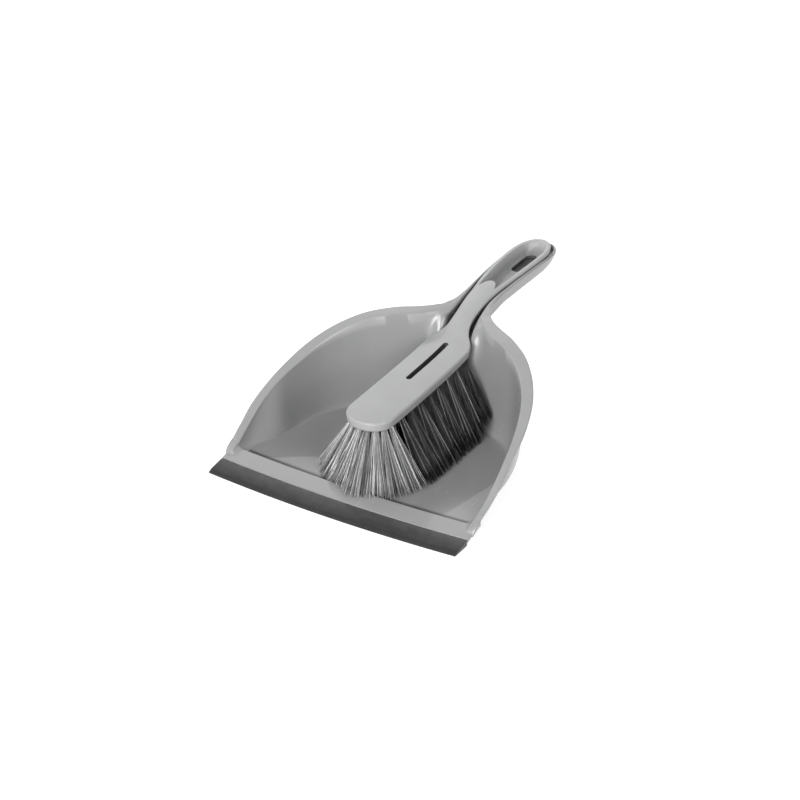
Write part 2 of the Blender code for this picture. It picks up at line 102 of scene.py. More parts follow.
def spline(points, steps, folded=()):
    """Catmull-Rom curve through rows of numbers, `steps` pieces after each row.

    The columns in `folded` change sign past the last row, so that a tip closes round.
    """
    rows = [np.array(p, float) for p in points]
    beyond = rows[-2].copy() if folded else 2 * rows[-1] - rows[-2]
    for column in folded:
        beyond[column] *= -1
    rows = [2 * rows[0] - rows[1]] + rows + [beyond]
    out = []
    for a, b, c, d in zip(rows, rows[1:], rows[2:], rows[3:]):
        for k in range(steps):
            t = k / steps
            out.append(0.5 * (2 * b + (c - a) * t + (2 * a - 5 * b + 4 * c - d) * t * t
                              + (3 * b - a - 3 * c + d) * t ** 3))
    out.append(rows[-2])
    return np.array(out)


def rounded(corners, steps=4):
    """Open polyline whose inner corners are rounded; each corner is (u, v, radius).

    A rounding uses up at most 0.45 of the sides next to it.
    """
    points = [np.array(c[:2], float) for c in corners]
    out = [points[0]]
    for before, here, after, corner in zip(points, points[1:], points[2:], corners[1:]):
        a, b = before - here, after - here
        cut = min(corner[2], 0.45 * np.linalg.norm(a), 0.45 * np.linalg.norm(b))
        start, end = here + a / np.linalg.norm(a) * cut, here + b / np.linalg.norm(b) * cut
        for k in range(steps + 1):
            t = k / steps
            out.append((1 - t) ** 2 * start + 2 * t * (1 - t) * here + t * t * end)
    out.append(points[-1])
    return np.array(out)


def resampled(curve, count, closeness):
    """`count` points along a polyline, closer together where its pieces have more `closeness`."""
    length = np.linalg.norm(np.diff(curve, axis=0), axis=1)
    run = np.concatenate([[0.0], np.cumsum(length * closeness)])
    at = np.linspace(0.0, run[-1], count)
    return np.stack([np.interp(at, run, curve[:, k]) for k in range(curve.shape[1])], axis=1)


# ---- mesh helpers -------------------------------------------------------------------------------
def piece(name, verts, faces, mat, body, nodes, sharp=40.0, weld=2e-6, painted_shade=None):
    """Visible piece made from points in metres, which stands for some CAD nodes."""
    mesh = bpy.data.meshes.new(name)
    mesh.from_pydata([tuple(v) for v in verts], [], [tuple(f) for f in faces])
    # Per-point painted shade: the materials darken the colour where it is high.
    if painted_shade is not None:
        mesh.attributes.new("painted_shade_mask", "FLOAT", "POINT").data.foreach_set("value", painted_shade)
    work = bmesh.new()
    work.from_mesh(mesh)
    bmesh.ops.remove_doubles(work, verts=work.verts, dist=weld)
    bmesh.ops.dissolve_degenerate(work, edges=work.edges, dist=weld)
    bmesh.ops.recalc_face_normals(work, faces=work.faces)
    work.to_mesh(mesh)
    work.free()
    mesh.shade_smooth()
    mesh.set_sharp_from_angle(angle=math.radians(sharp))
    mesh.materials.append(mat)
    obj = bpy.data.objects.new(name, mesh)
    bpy.context.scene.collection.objects.link(obj)
    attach(obj, body)
    if nodes:
        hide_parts(*nodes)
    return obj


def loop_faces(rows, columns):
    """Quads between equal closed loops of points."""
    faces = []
    for i in range(rows - 1):
        for j in range(columns):
            k = (j + 1) % columns
            here, above = i * columns, (i + 1) * columns
            faces.append((here + j, here + k, above + k, above + j))
    return faces


def mirrored(right):
    """Closed loop from its right half, which starts and ends on the middle plane."""
    left = right[-2:0:-1] * MIRROR
    return np.concatenate([right, left])


def prism(rings):
    """Closed solid through equal rings of points, first and last ring capped."""
    count = len(rings[0])
    verts = [p for ring in rings for p in ring]
    faces = [tuple(reversed(range(count)))] + loop_faces(len(rings), count)
    faces.append(tuple((len(rings) - 1) * count + j for j in range(count)))
    return verts, faces


def stadium(front, back, width, steps=16):
    """Plan outline of a slot with round ends."""
    r = width / 2
    out = []
    for centre, turn in ((back - r, 0.0), (front + r, math.pi)):
        for k in range(steps + 1):
            angle = turn + math.pi * k / steps
            out.append((r * math.cos(angle), centre + r * math.sin(angle)))
    return out


# ---- materials ----------------------------------------------------------------------------------
# Ranges that a value is moved from, and how much lighter a rubbed edge gets.
UNIT = (0.0, 1.0)
NOISE_CORE = (0.3, 0.7)
CONVEX_EDGE = (0.52, 0.60)
EDGE_LIGHTER = 0.14


class Nodes:
    """Short way to wire a material's nodes around one Principled shader."""

    def __init__(self, name):
        self.mat = bpy.data.materials.new(name)
        self.mat.use_nodes = True
        self.tree = self.mat.node_tree
        self.shader = self.tree.nodes["Principled BSDF"]

    def add(self, kind, **values):
        """Node of a kind; keys that match a socket set it, the others set attributes."""
        node = self.tree.nodes.new(kind)
        for key, value in values.items():
            if hasattr(node, key):
                setattr(node, key, value)
            else:
                node.inputs[key.replace("_", " ")].default_value = value
        return node

    def link(self, source, target):
        """Wire from one socket to another."""
        self.tree.links.new(source, target)

    def noise(self, scale, detail=2.0, stretch=(1.0, 1.0, 1.0), roughness=0.5):
        """Noise over the model's own coordinates, in metres."""
        coord = self.add("ShaderNodeTexCoord")
        mapping = self.add("ShaderNodeMapping")
        mapping.inputs["Scale"].default_value = stretch
        self.link(coord.outputs["Object"], mapping.inputs["Vector"])
        noise = self.add("ShaderNodeTexNoise", Scale=scale, Detail=detail, Roughness=roughness)
        self.link(mapping.outputs["Vector"], noise.inputs["Vector"])
        return noise.outputs["Fac"]

    def ranged(self, value, source, target):
        """A value moved from one (low, high) range to another, clamped."""
        node = self.add("ShaderNodeMapRange", From_Min=source[0], From_Max=source[1],
                        To_Min=target[0], To_Max=target[1])
        self.link(value, node.inputs["Value"])
        return node.outputs["Result"]

    def drive(self, socket, value):
        """Feed one input of the Principled shader."""
        self.link(value, self.shader.inputs[socket])

    def scaled_colour(self, colour, factor):
        """Base colour made lighter or darker by a factor."""
        mix = self.add("ShaderNodeVectorMath", operation="SCALE")
        self.link(colour, mix.inputs[0])
        self.link(factor, mix.inputs["Scale"])
        self.drive("Base Color", mix.outputs["Vector"])

    def painted_shade_and_wear(self, colour, share):
        """Base colour darkened by painted shade, up to `share`, where the mesh marks it, and rubbed
        lighter on convex edges.
        """
        painted_shade_mask = self.add("ShaderNodeAttribute", attribute_name="painted_shade_mask").outputs["Fac"]
        patches = self.ranged(self.noise(90.0, 4.0), NOISE_CORE, (0.9, 1.1))
        painted_shade = self.ranged(self.maths("MULTIPLY", painted_shade_mask, patches), UNIT, (1.0, 1.0 - share))
        pointiness = self.add("ShaderNodeNewGeometry").outputs["Pointiness"]
        rubbed = self.ranged(pointiness, CONVEX_EDGE, (0.0, EDGE_LIGHTER))
        self.scaled_colour(colour, self.maths("ADD", painted_shade, rubbed))

    def maths(self, operation, a, b):
        """Math node of two values, each a socket or a number."""
        node = self.add("ShaderNodeMath", operation=operation)
        for socket, value in zip(node.inputs, (a, b)):
            if isinstance(value, (int, float)):
                socket.default_value = value
            else:
                self.link(value, socket)
        return node.outputs["Value"]

    def ramp(self, value, stops):
        """Colour ramp through (place, grey) or (place, colour) stops."""
        node = self.add("ShaderNodeValToRGB")
        elements = node.color_ramp.elements
        while len(elements) < len(stops):
            elements.new(0.5)
        for element, (place, colour) in zip(elements, stops):
            element.position = place
            element.color = (*((colour,) * 3 if isinstance(colour, float) else colour), 1.0)
        self.link(value, node.inputs["Fac"])
        return node.outputs["Color"]

    def bump(self, *layers):
        """Bump from (height, depth in metres, strength) layers, one on top of another."""
        normal = None
        for height, distance, strength in layers:
            node = self.add("ShaderNodeBump", Distance=distance, Strength=strength)
            self.link(height, node.inputs["Height"])
            if normal is not None:
                self.link(normal, node.inputs["Normal"])
            normal = node.outputs["Normal"]
        self.drive("Normal", normal)

    def fixed(self, **values):
        """Plain numbers on the Principled shader's own sockets."""
        for key, value in values.items():
            self.shader.inputs[key.replace("_", " ")].default_value = value


def pan_material():
    """Semi-gloss grey polypropylene with faint flow marks and fine sweeping scratches."""
    n = Nodes("pan_plastic_fine")
    cloud = n.noise(26.0, 3.0)
    scratch = n.noise(1.0, 2.0, (1500.0, 45.0, 260.0))
    grain = n.noise(2600.0, 1.0)
    # Painted shade takes up to 0.8 of the colour where the mesh marks it.
    n.painted_shade_and_wear(n.ramp(cloud, ((0.3, (0.196, 0.197, 0.198)), (0.7, (0.208, 0.209, 0.210)))), 0.8)
    smear = n.ranged(cloud, (0.35, 0.65), (0.17, 0.23))
    n.drive("Roughness", n.maths("ADD", smear, n.ranged(scratch, (0.55, 0.75), (0.0, 0.06))))
    n.bump((scratch, 0.000004, 0.2), (grain, 0.000004, 0.2))
    n.fixed(IOR=1.6)
    return n.mat


def stock_material():
    """Satin grey polypropylene, a little lighter than the pan."""
    n = Nodes("stock_plastic_fine")
    cloud = n.noise(34.0, 3.0)
    grain = n.noise(3200.0, 2.0)
    # Painted shade takes up to 0.9 of the colour where the mesh marks it.
    n.painted_shade_and_wear(n.ramp(cloud, ((0.3, (0.226, 0.227, 0.229)), (0.7, (0.243, 0.244, 0.246)))), 0.9)
    n.drive("Roughness", n.ranged(grain, NOISE_CORE, (0.30, 0.44)))
    n.bump((grain, 0.00002, 0.5), (cloud, 0.00015, 0.12))
    n.fixed(IOR=1.48)
    return n.mat


def rubber_material():
    """Extruded rubber: fine lines along the strip, a dusty top, and a front edge darkened by
    painted shade.
    """
    n = Nodes("rubber_fine")
    lines = n.noise(1.0, 3.0, (12.0, 2400.0, 2400.0))
    dust = n.noise(170.0, 5.0, roughness=0.65)
    n.painted_shade_and_wear(n.ramp(dust, ((0.35, (0.036, 0.036, 0.037)), (0.72, (0.057, 0.057, 0.058)))), 0.7)
    n.drive("Roughness", n.ranged(lines, NOISE_CORE, (0.40, 0.60)))
    n.bump((lines, 0.00004, 0.5), (dust, 0.00003, 0.3))
    n.fixed(IOR=1.5)
    return n.mat


# Shades of the strands: share of the strands, grey.
LIGHT_SHADES = ((0.0, 0.03), (0.25, 0.11), (0.7, 0.35), (1.0, 0.66))
DARK_SHADES = ((0.0, 0.002), (0.7, 0.005), (0.88, 0.03), (1.0, 0.60))


def bristle_material(name, stops, roughness, sheen):
    """Synthetic bristle: every strand has its own shade, and is uneven along its length."""
    n = Nodes(name)
    island = n.add("ShaderNodeNewGeometry").outputs["Random Per Island"]
    n.scaled_colour(n.ramp(island, stops), n.ranged(n.noise(420.0, 2.0), NOISE_CORE, (0.78, 1.12)))
    n.drive("Roughness", n.ranged(island, UNIT, (roughness - 0.06, roughness + 0.08)))
    n.fixed(IOR=1.5, Sheen_Weight=sheen)
    return n.mat


def steel_material():
    """Stamped anchor wire."""
    n = Nodes("anchor_steel_fine")
    draw = n.noise(1.0, 2.0, (60.0, 5000.0, 5000.0))
    n.drive("Base Color", n.ramp(draw, ((0.3, 0.42), (0.7, 0.62))))
    n.drive("Roughness", n.ranged(draw, UNIT, (0.22, 0.42)))
    n.fixed(Metallic=1.0)
    return n.mat


# ---- pan ----------------------------------------------------------------------------------------
# Right-hand side, front to tip: rim's inner edge, floor edge below it, width of the rim, how late
# the wall turns outwards (0 at the floor, 1 at the rim), and the exponent of its corner (1 makes
# an elliptic wall, less a squarer one).
PAN_STATIONS = (
    ((104.3, 34.0, 12.0), (97.5, 34.0, 4.9), 6.4, 0.0, 1.0),
    ((105.4, 47.0, 19.5), (97.5, 47.0, 4.4), 6.4, 0.0, 1.0),
    ((105.4, 62.0, 29.5), (96.0, 61.0, 3.6), 6.8, 0.0, 1.5),
    ((103.6, 80.0, 39.9), (93.0, 78.0, 2.7), 6.6, 0.0, 2.0),
    ((99.4, 101.0, 49.0), (89.8, 98.0, 2.2), 8.1, 0.0, 1.3),
    ((92.5, 122.5, 59.0), (83.8, 117.5, 2.2), 8.8, 0.0, 0.9),
    ((82.0, 141.0, 68.0), (74.3, 134.0, 2.2), 9.2, 0.0, 0.75),
    ((66.5, 157.5, 75.5), (61.0, 148.5, 2.2), 9.9, 0.0, 0.72),
    ((48.5, 169.0, 79.3), (45.5, 159.5, 2.2), 11.2, 0.05, 0.72),
    ((34.5, 177.0, 80.5), (32.5, 166.5, 2.2), 10.9, 0.15, 0.72),
    ((26.0, 183.5, 81.3), (22.5, 170.3, 3.4), 9.5, 0.4, 0.72),
    ((19.4, 190.2, 82.0), (15.8, 174.4, 13.0), 8.4, 0.8, 0.75),
    ((13.9, 197.5, 82.2), (12.9, 177.0, 35.0), 8.2, 0.85, 0.8),
    ((12.3, 207.5, 84.9), (11.3, 181.0, 57.0), 5.4, 0.6, 0.9),
    ((12.0, 217.0, 87.0), (10.0, 190.5, 66.8), 4.0, 0.3, 0.9),
    ((12.5, 227.0, 88.4), (9.6, 204.5, 73.4), 3.0, 0.0, 0.8),
    ((13.5, 240.0, 89.7), (10.3, 224.0, 78.3), 2.5, 0.0, 0.72),
    ((14.6, 260.0, 91.2), (12.6, 250.0, 81.0), 2.3, 0.0, 0.72),
    ((15.4, 282.0, 92.0), (13.7, 280.0, 82.4), 2.3, 0.0, 0.72),
    ((15.3, 300.0, 91.5), (13.7, 299.0, 82.9), 2.3, 0.0, 0.72),
    ((13.7, 314.0, 90.4), (11.6, 312.0, 83.7), 2.3, 0.0, 0.72),
    ((10.0, 325.3, 89.4), (7.6, 321.5, 84.0), 2.3, 0.0, 0.72),
    ((5.0, 331.8, 89.1), (3.6, 327.0, 84.0), 2.3, 0.0, 0.72),
    ((0.0, 333.5, 88.9), (0.0, 328.6, 84.0), 2.3, 0.0, 0.72),
)
# Front rows: Y at the corners, top of the plate, rise of the rim's nub, thickness.
TONGUE_ROWS = ((TONGUE_FRONT, 2.3, 0.0, 1.1), (14.0, 2.45, 0.0, 1.1), (17.9, 2.6, 0.0, 1.1))
BAND_ROWS = (
    (18.0, 4.35, 0.0, 2.2), (18.08, 4.62, 0.0, 2.4), (18.3, 4.8, 0.0, 2.5),
    (18.8, 4.98, 0.0, 2.6), (21.0, 5.47, 0.0, 2.5), (23.0, 5.9, 0.02, 2.4),
    (23.6, 6.02, 0.12, 2.4), (24.1, 6.12, 0.55, 2.4), (24.8, 6.27, 1.25, 2.3),
    (26.0, 6.5, 1.9, 2.3), (28.0, 6.93, 2.45, 2.2), (30.5, 7.45, 3.0, 2.2),
    (32.4, 7.84, 3.35, 2.2), (32.9, 7.9, 3.45, 2.2), (33.15, 7.82, 3.6, 2.2),
    (33.3, 7.5, 3.9, 2.2), (33.45, 5.8, 5.4, 2.2), (33.6, 5.2, 6.1, 2.2),
)
# Profiles of the rim: share of its width, height over its inner edge; and their lowest edges.
FLANGE = ((0.0, -0.6), (0.08, 0.0), (0.3, 0.6), (0.64, 1.3), (0.9, 1.7), (1.0, 1.0), (0.97, 0.0))
FLANGE_ROOT = -2.4
BEAD = ((0.0, -0.6), (0.09, 0.0), (0.32, 0.2), (0.64, -0.1), (0.9, -0.6), (1.0, -1.3), (0.97, -2.6))
BEAD_ROOT = -2.6
RIM_DIP = 0.6
# Front rows: half width of the floor, X of the rim at the back of the band and how it tapers
# forward of it, width of the rim, and Y ahead of which the rim reaches the lip's ends.
FLOOR_HALF_WIDTH = 97.5
RIM_X, RIM_TAPER, RIM_TAPER_POWER = 104.4, 0.012, 1.6
FRONT_RIM_WIDTH, NUB_END = 6.4, 24
TONGUE_INSET = 1.2
NUB_RISE = 3.0                   # rise at which the rim has its full rolled shape
FOOT_RISE, UNDER_RISE = 0.8, 0.5  # shares of the rise that the rim's foot and the underside follow
# The rim turns from a rolled flange into a bead as it narrows along the neck.
NECK_FROM, BEAD_BELOW, BEAD_FADE = 170, 8.0, 4.5
LEVEL_FLOOR_END = 167
SAMPLES_PER_STATION = 7
FLOOR_SHARES = np.linspace(0.0, 1.0, 25)
WALL_ANGLES = np.linspace(0.0, 90.0, 25)[1:]
FLANGE_FINE = spline(FLANGE, 4)[1:]
BEAD_FINE = spline(BEAD, 4)[1:]


def inner_columns(rim, base, late, corner):
    """Inside of the pan from the middle plane over the floor and up the wall to the rim."""
    x = base[0] * FLOOR_SHARES
    floor = np.stack([x, base[1] - bow(x, base[1]), np.full_like(x, base[2])], axis=1)
    sine = np.sin(np.radians(WALL_ANGLES)) ** corner
    cosine = np.abs(np.cos(np.radians(WALL_ANGLES))) ** corner
    out = (1 - late) * sine + late * (1 - cosine)
    up = (1 - late) * (1 - cosine) + late * sine
    x = base[0] + (rim[0] - base[0]) * out
    y = base[1] + (rim[1] - base[1]) * out
    wall = np.stack([x, y - bow(x, y), base[2] + (rim[2] - RIM_DIP - base[2]) * up], axis=1)
    return np.concatenate([floor, wall])


def rim_columns(rim, outward, width, narrow, lift):
    """Outside of the rim, from its inner edge to the bottom of its outer edge."""
    out = width * (FLANGE_FINE[:, 0] * (1 - narrow) + BEAD_FINE[:, 0] * narrow)
    rise = lift * (FLANGE_FINE[:, 1] * (1 - narrow) + BEAD_FINE[:, 1] * narrow)
    x = rim[0] + outward[0] * out
    y = rim[1] + outward[1] * out
    return np.stack([x, y - bow(x, y), rim[2] + rise], axis=1)


def surface_normals(grid):
    """Unit normals that point out of the pan, one for each point of its inside."""
    ghost = grid[-2] * MIRROR
    tall = np.concatenate([grid[:1], grid, ghost[None]])
    along = tall[2:] - tall[:-2]
    wide = np.concatenate([grid[:, 1:2] * MIRROR, grid, 2 * grid[:, -1:] - grid[:, -2:-1]], axis=1)
    normals = -np.cross(wide[:, 2:] - wide[:, :-2], along)
    normals /= np.maximum(np.linalg.norm(normals, axis=2, keepdims=True), 1e-9)
    last = len(FLOOR_SHARES) - 1
    normals[-1, :last] = normals[-1, last]
    return normals


def front_row(y, z, rise, thick):
    """Cross-section of the tongue or the ramp band."""
    rim_x = RIM_X - RIM_TAPER * (BAND_BACK - min(y, BAND_BACK)) ** RIM_TAPER_POWER
    rim = (rim_x, y, z + rise + RIM_DIP)
    width = FRONT_RIM_WIDTH
    if y < NUB_END:
        width = LIP_HALF_WIDTH - rim_x - (TONGUE_INSET if y < BAND_FRONT else 0.0)
    lift = min(rise / NUB_RISE, 1.0)
    inner = inner_columns(rim, (FLOOR_HALF_WIDTH, y, z), 0.0, 1.0)
    top = (rim[0], rim[1], rim[2] - RIM_DIP * (1 - lift))
    outside = rim_columns(top, (1.0, 0.0), width, 0.0, lift)
    outside[-1, 2] = z - thick + rise * FOOT_RISE
    under = inner - np.array([0.0, 0.0, thick])
    under[:, 2] = np.minimum(under[:, 2], z - thick + rise * UNDER_RISE)
    return inner, outside, under


def pan_rows():
    """Right halves of the pan's cross-sections, front to tip: inside, rim's outside, underside."""
    flat = [(*rim, *base, *shape) for rim, base, *shape in PAN_STATIONS]
    samples = spline(flat, SAMPLES_PER_STATION, folded=(0, 3))
    rims, bases = samples[:, 0:3], samples[:, 3:6]
    widths, lates, corners = samples[:, 6:9].T
    grid = np.array([inner_columns(*row) for row in zip(rims, bases, lates, corners)])
    normals = surface_normals(grid)
    rows = [front_row(*row) for row in TONGUE_ROWS + BAND_ROWS]
    last, count = len(samples) - 1, len(FLOOR_SHARES)
    for i, (rim, base, width) in enumerate(zip(rims, bases, widths)):
        step = rims[min(i + 1, last)] - rims[max(i - 1, 0)]
        if i == last:
            step = np.array([-1.0, 0.0, 0.0])
        outward = np.array([step[1], -step[0]]) / math.hypot(step[0], step[1])
        narrow = float(smooth((BEAD_BELOW - width) / BEAD_FADE)) if rim[1] > NECK_FROM else 0.0
        thick = SHELL - (SHELL - HANDLE_SHELL) * narrow
        outside = rim_columns(rim, outward, width, narrow, 1.0)
        under = grid[i] + normals[i] * thick
        limit = rim[2] + FLANGE_ROOT * (1 - narrow) + BEAD_ROOT * narrow
        under[:, 2] = np.minimum(under[:, 2], limit)
        x, y = rim[0] + outward[0] * thick, rim[1] + outward[1] * thick
        under[-1] = (x, y - bow(x, y), limit)
        if base[2] <= FLOOR_Z + 0.01 and base[1] < LEVEL_FLOOR_END:
            under[:count, 2] = np.maximum(under[:count, 2], 0.0)
        rows.append((grid[i], outside, under))
    return rows


# Painted shade behind the ridge, where the floor lies in the step's shadow: where it ends, over
# what length it fades. Painted shade in the handle's channel, beside the brush's neck: where it
# starts, how far across it reaches, how strong it is; lengths it fades over along and across, and
# columns it fades over up the wall.
RIDGE_SHADE_END, RIDGE_SHADE_FADE = 41.5, 3.0
CHANNEL_SHADE_FROM, CHANNEL_SHADE_HALF, CHANNEL_SHADE = 184.0, 18.5, 0.85
ALONG_FADE, ACROSS_FADE, WALL_FADE = 10.0, 4.0, 4.0


def pan_painted_shade(loop, inside):
    """Painted shade of a cross-section: behind the ramp's ridge, and in the handle's channel."""
    y = loop[:, 1] + bow(loop[:, 0], loop[:, 1])
    column = np.arange(len(loop))
    column = np.minimum(column, len(loop) - column)
    ridge = smooth((RIDGE_SHADE_END - y) / RIDGE_SHADE_FADE)
    ridge *= (y > BAND_BACK + 0.2) * (column < len(FLOOR_SHARES))
    along = smooth((y - CHANNEL_SHADE_FROM) / ALONG_FADE)
    across = smooth((CHANNEL_SHADE_HALF - abs(loop[:, 0])) / ACROSS_FADE)
    deep = smooth((inside - 2 - column) / WALL_FADE) * (column < inside)
    return np.maximum(ridge, CHANNEL_SHADE * (along * across * deep))


def build_pan(mat):
    """Tray, rim and handle as one moulding."""
    loops = [mirrored(np.concatenate([inner, outside, under[::-1]]))
             for inner, outside, under in pan_rows()]
    inside = len(FLOOR_SHARES) + len(WALL_ANGLES)
    total = len(loops[0])
    half = 2 * inside + len(FLANGE_FINE)
    faces = loop_faces(len(loops), total)
    for j in range(inside - 1):
        faces.append((j, half - 1 - j, half - 2 - j, j + 1))
        faces.append(((total - j) % total, total - j - 1, half + j, half - 1 + j))
    faces.append(tuple(range(half - inside, inside - 2, -1)))
    faces.append(tuple(range(total - inside + 1, half + inside - 3, -1)))
    # Painted shade behind the ramp's ridge and in the handle's channel.
    painted_shade = np.concatenate([pan_painted_shade(loop, inside) for loop in loops])
    return piece("pan_shell", world(np.concatenate(loops)), faces, mat, "pan",
                 ["pan_body"], sharp=50.0, painted_shade=painted_shade)


# ---- lip ----------------------------------------------------------------------------------------
# Section of the strip: Y, Z and how much each corner is rounded.
LIP_SECTION = (
    (0.0, 0.25, 0.2), (0.35, 0.0, 0.2), (16.6, 0.0, 0.4), (17.3, 0.4, 0.3), (17.3, 0.85, 0.2),
    (10.15, 0.85, 0.1), (10.15, 2.65, 0.1), (17.5, 3.0, 0.15), (17.5, 4.7, 0.35), (3.1, 2.2, 0.7),
    (0.0, 0.55, 0.2), (0.0, 0.25, 0.2),
)
LIP_MIDDLE = (8.6, 2.0)
LIP_STEPS = 160
# Ends of the strip: distance from the very end, and how full the section is there. An empty one
# would have moved in by LIP_SHRINK.
LIP_ENDS = ((0.0, 0.88), (0.12, 0.95), (0.35, 0.985), (0.7, 1.0), (0.75, 1.0))
LIP_SHRINK = 3.0
# The groove is filled up this close to the ends: its floor moves back to the strip's back face.
GROOVE_CLOSED = 0.72
GROOVE_FLOOR, GROOVE_HEIGHTS, LIP_BACK = (10.0, 11.0), (0.75, 2.75), 17.4
# The front edge of the strip is darkened by painted shade.
FRONT_SHADE_END, FRONT_SHADE_FADE = 7.0, 4.0   # how far back the dark front edge reaches


def build_lip(mat):
    """Rubber strip with a groove for the pan's tongue, closed and softened at its ends."""
    section = rounded(LIP_SECTION, 4)[:-1]
    (low, high), (bottom, top) = GROOVE_FLOOR, GROOVE_HEIGHTS
    groove = (section[:, 0] > low) & (section[:, 0] < high)
    groove &= (section[:, 1] > bottom) & (section[:, 1] < top)
    across = [(-LIP_HALF_WIDTH + cut, share) for cut, share in LIP_ENDS]
    across += [(LIP_HALF_WIDTH * (2 * i / LIP_STEPS - 1), 1.0) for i in range(2, LIP_STEPS - 1)]
    across += [(LIP_HALF_WIDTH - cut, share) for cut, share in reversed(LIP_ENDS)]
    rings = []
    for x, share in across:
        yz = section.copy()
        if abs(x) > LIP_HALF_WIDTH - GROOVE_CLOSED:
            yz[groove, 0] = LIP_BACK
        if share < 1.0:
            shift = yz - LIP_MIDDLE
            reach = np.linalg.norm(shift, axis=1, keepdims=True)
            yz = yz - shift / np.maximum(reach, 1e-6) * (1 - share) * LIP_SHRINK
        rings.append(world([(x, y - bow(x, y), z) for y, z in yz]))
    verts, faces = prism(rings)
    # Painted shade on the strip's front edge, fading with distance from its front.
    front_shade = np.tile(smooth((FRONT_SHADE_END - section[:, 0]) / FRONT_SHADE_FADE), len(rings))
    return piece("lip_strip", verts, faces, mat, "pan", ["rubber_lip"],
                 sharp=35.0, painted_shade=front_shade)


# ---- brush stock --------------------------------------------------------------------------------
# Y, half width, height of the top edge.
STOCK_STATIONS = (
    (64.0, 20.0, 57.5), (90.0, 20.2, 58.7), (118.0, 20.1, 60.3), (146.0, 19.9, 62.2),
    (164.0, 19.7, 64.2), (172.0, 19.3, 65.6), (178.0, 16.6, 68.0), (182.6, 12.6, 71.0),
    (187.0, 10.2, 74.0), (192.0, 9.0, 77.6), (199.4, 8.7, 81.2), (207.0, 9.0, 84.2),
    (215.0, 9.5, 86.6), (223.0, 10.0, 88.2), (231.0, 10.8, 89.7), (240.0, 11.9, 91.2),
    (252.0, 13.3, 92.6), (266.0, 14.4, 93.7), (278.0, 15.1, 94.4), (290.0, 15.4, 94.9),
    (300.0, 15.2, 95.2), (310.0, 14.0, 95.4), (318.0, 11.2, 95.6), (323.5, 7.2, 95.7),
    (STOCK_TIP, 0.0, 95.8),
)
TONGUE_END, TONGUE_SIDE = 241.0, 229.0
HOLLOW_BACK, HOLLOW_DEPTH, RIM_WIDTH = 325.0, 8.7, 3.2
HOLLOW_ENTRY, HOLLOW_LEAVE, BOWL_SHARE = 2.4, 17.0, 0.42
NOSE_FAN, TIP_FAN = 66.0, 309.0  # sections fan out ahead of the first and behind the second
CROWN_REACH = 12.0               # half width from which the crown has its full height
# Where each change along the stock starts, and its length: head's side to handle's side, crowned
# top to flat rim, and the handle getting deeper.
HANDLE_BLEND, CROWN_END, DEEPER_BLEND = (176.0, 24.0), (226.0, 24.0), (236.0, 24.0)
OUTLINE_POINTS, NOSE_POINTS = 420, 60
DENSE_AT, DENSE_REACH, DENSE_EXTRA = 236.0, 8.0, 2.6
TOP_SHARES = np.sin(np.linspace(0.0, math.pi / 2, 34))
# Side of the stock: inset from the outline, drop below the top edge, how round the corner is.
HEAD_SIDE = rounded(((2.4, 0.0, 0), (0.9, 0.0, 0.35), (0.0, 0.9, 0.35), (0.35, 4.0, 0.5),
                     (0.7, 6.6, 0.5), (1.4, 7.2, 0.4), (2.6, 7.2, 0)), 5)
HANDLE_SIDE = rounded(((2.4, 0.0, 0), (0.8, 0.0, 0.8), (0.0, 0.9, 0.8), (0.6, 3.6, 1.5),
                       (1.6, 6.6, 1.5), (3.2, 8.4, 1.4), (5.6, 9.0, 0)), 5)
STOCK_FINE = spline(STOCK_STATIONS, 16, folded=(1,))


def outline_samples():
    """Right half of the stock's plan outline, nose to tip, densest round the tongue's end."""
    length = HEAD_CENTRE - HEAD_FRONT
    angles = np.radians(np.linspace(0.0, 90.0, NOSE_POINTS)[:-1])
    nose = np.stack([HEAD_HALF_WIDTH * np.sin(angles) ** (2 / HEAD_ROUND),
                     HEAD_CENTRE - length * np.cos(angles) ** (2 / HEAD_ROUND)], axis=1)
    curve = np.concatenate([nose, STOCK_FINE[:, 1::-1]])
    middle = (curve[1:, 1] + curve[:-1, 1]) / 2
    closeness = 1.0 + DENSE_EXTRA * smooth(2.0 - np.abs(middle - DENSE_AT) / DENSE_REACH)
    return resampled(curve, OUTLINE_POINTS, closeness)


def blend(y, change):
    """How far a change along the stock has come, 0 to 1; it has a start and a length."""
    return float(smooth((y - change[0]) / change[1]))


def edge_height(y):
    """Height of the stock's top edge."""
    ahead = np.maximum(HEAD_CENTRE - y, 0.0) * NOSE_DROOP
    return np.interp(y, STOCK_FINE[:, 0], STOCK_FINE[:, 2]) - ahead


def hollow_drop(share, y):
    """Depth of the scooped hollow below the handle's rim; `share` is 1 at the rim."""
    start = TONGUE_END - (TONGUE_END - TONGUE_SIDE) * share ** 2
    entry = smooth((y - start) / HOLLOW_ENTRY)
    leave = smooth((HOLLOW_BACK - y) / HOLLOW_LEAVE)
    bowl = smooth((1.0 - share) / BOWL_SHARE)
    return HOLLOW_DEPTH * entry * leave * bowl


